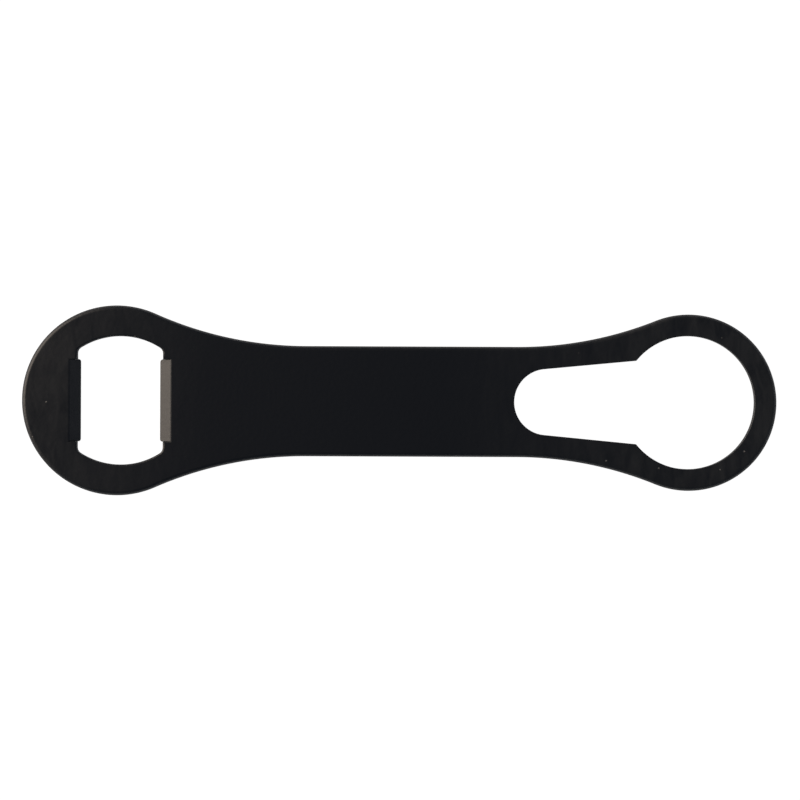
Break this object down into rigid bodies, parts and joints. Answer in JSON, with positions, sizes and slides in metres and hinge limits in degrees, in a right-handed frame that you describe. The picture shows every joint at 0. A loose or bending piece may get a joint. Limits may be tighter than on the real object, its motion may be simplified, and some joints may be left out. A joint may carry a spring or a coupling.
{
  "type": "bottle opener",
  "caption": "Flat black-coated steel bar bottle opener: a cap opening with two bent lips in one head, a slim handle, and a keyhole ring for pulling pour spouts in the other head.",
  "frame": {"origin": "middle of the length and width, at the height of the lips' lowest edges, which is the surface that the opener lies on", "axes": "+X along the handle from the cap opening's head to the ring head, +Y across the handle, +Z out of the flat face that the lips bend away from"},
  "size_m": [0.178, 0.0448, 0.0038],
  "materials": {
    "sheet_steel": "cold-rolled stainless sheet, stamped, hidden under the coat",
    "black_powder_coat": "satin black powder coat with a fine orange peel"
  },
  "bodies": {
    "root": {"steel_blank": "sheet_steel", "powder_coat": "black_powder_coat"}
  },
  "joints": []
}
